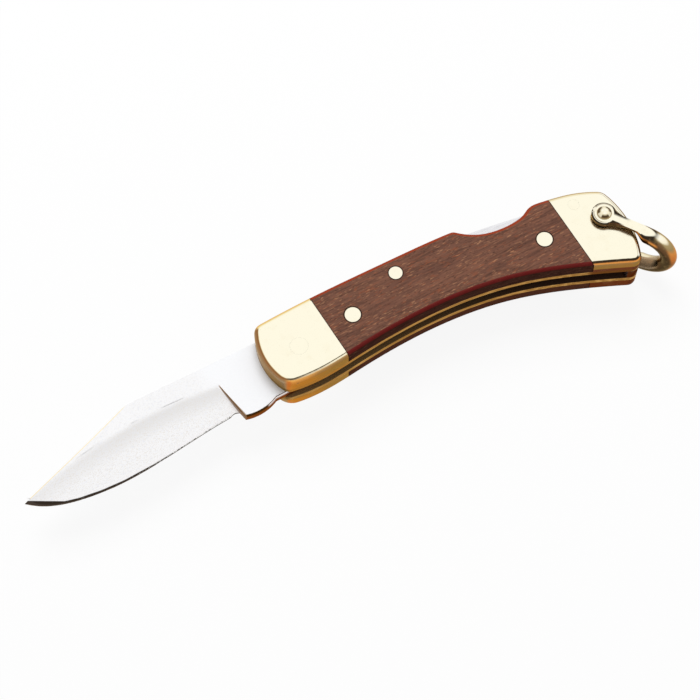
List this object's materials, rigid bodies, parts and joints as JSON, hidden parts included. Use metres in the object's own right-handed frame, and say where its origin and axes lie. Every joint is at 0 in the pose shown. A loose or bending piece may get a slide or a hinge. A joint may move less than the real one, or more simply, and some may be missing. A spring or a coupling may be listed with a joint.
{
  "type": "folding pocket knife",
  "caption": "Small lock-back folding knife with a clip-point blade, brass bolsters and liners, wooden scales, a thumb-release lock bar and a swinging bail at the butt.",
  "frame": {"origin": "bottom centre of the open knife's box, lying on its side", "axes": "+X from the blade's point towards the butt, +Y towards the back of the blade and handle, +Z out of the left side"},
  "size_m": [0.1228, 0.0228, 0.0144],
  "materials": {
    "blade_steel": "satin ground, polished at the ricasso",
    "bar_steel": "satin",
    "spring_steel": "blued",
    "bolster_brass": "polished",
    "liner_brass": "satin",
    "pin_brass": "polished flush",
    "bail_brass": "polished",
    "rosewood": "oiled and buffed, grain along the handle"
  },
  "bodies": {
    "handle": {"lock_spring": "spring_steel", "rear_spacer": "bar_steel", "bail_pin": "bail_brass", "pivot_pin": "pin_brass", "rocker_pin": "pin_brass", "spacer_pin": "pin_brass", "left_liner": "liner_brass", "left_front_bolster": "bolster_brass", "left_rear_bolster": "bolster_brass", "left_scale": "rosewood", "left_front_rivet": "pin_brass", "left_rear_rivet": "pin_brass", "right_liner": "liner_brass", "right_front_bolster": "bolster_brass", "right_rear_bolster": "bolster_brass", "right_scale": "rosewood", "right_front_rivet": "pin_brass", "right_rear_rivet": "pin_brass"},
    "blade": {"blade": "blade_steel"},
    "lock_bar": {"lock_bar": "bar_steel"},
    "bail": {"bail": "bail_brass"}
  },
  "joints": [
    {"name": "blade_fold", "type": "hinge", "parent": "handle", "child": "blade", "pos_m": [-0.0076, 0.00384, 0.0072], "axis": [0, 0, 1], "range_deg": [0, 171]},
    {"name": "lock_rock", "type": "hinge", "parent": "handle", "child": "lock_bar", "pos_m": [0.01394, 0.00838, 0.0072], "axis": [0, 0, -1], "range_deg": [-1.95, 0.8], "stiffness_Nm_per_rad": 0.1, "springref_deg": -1.95, "deforming": ["lock_spring"]},
    {"name": "bail_swing", "type": "hinge", "parent": "handle", "child": "bail", "pos_m": [0.05209, 0.00081, 0.0072], "axis": [0, 0, 1], "range_deg": [-4, 158]}
  ]
}
